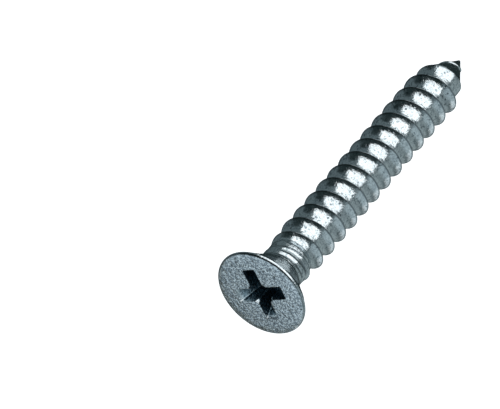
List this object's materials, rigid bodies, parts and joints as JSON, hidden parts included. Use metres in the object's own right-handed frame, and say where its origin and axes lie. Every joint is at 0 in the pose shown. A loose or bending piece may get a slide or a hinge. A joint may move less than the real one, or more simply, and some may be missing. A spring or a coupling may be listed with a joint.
{
  "type": "wood screw",
  "caption": "Countersunk wood screw with a cross recess, a coarse right-hand thread along the whole shank and a gimlet point.",
  "frame": {"origin": "centre of the flat head face, the plane that ends flush with the work", "axes": "+Z out of the head along the screw's axis, the shank runs down -Z to the point; the recess's wings lie along X and Y"},
  "size_m": [0.0076, 0.0076, 0.0312],
  "materials": {
    "zinc_plated_steel": "bright zinc plating, slightly blue, semi-gloss with a fine crystalline grain"
  },
  "bodies": {
    "root": {"wood_screw": "zinc_plated_steel"}
  },
  "joints": []
}
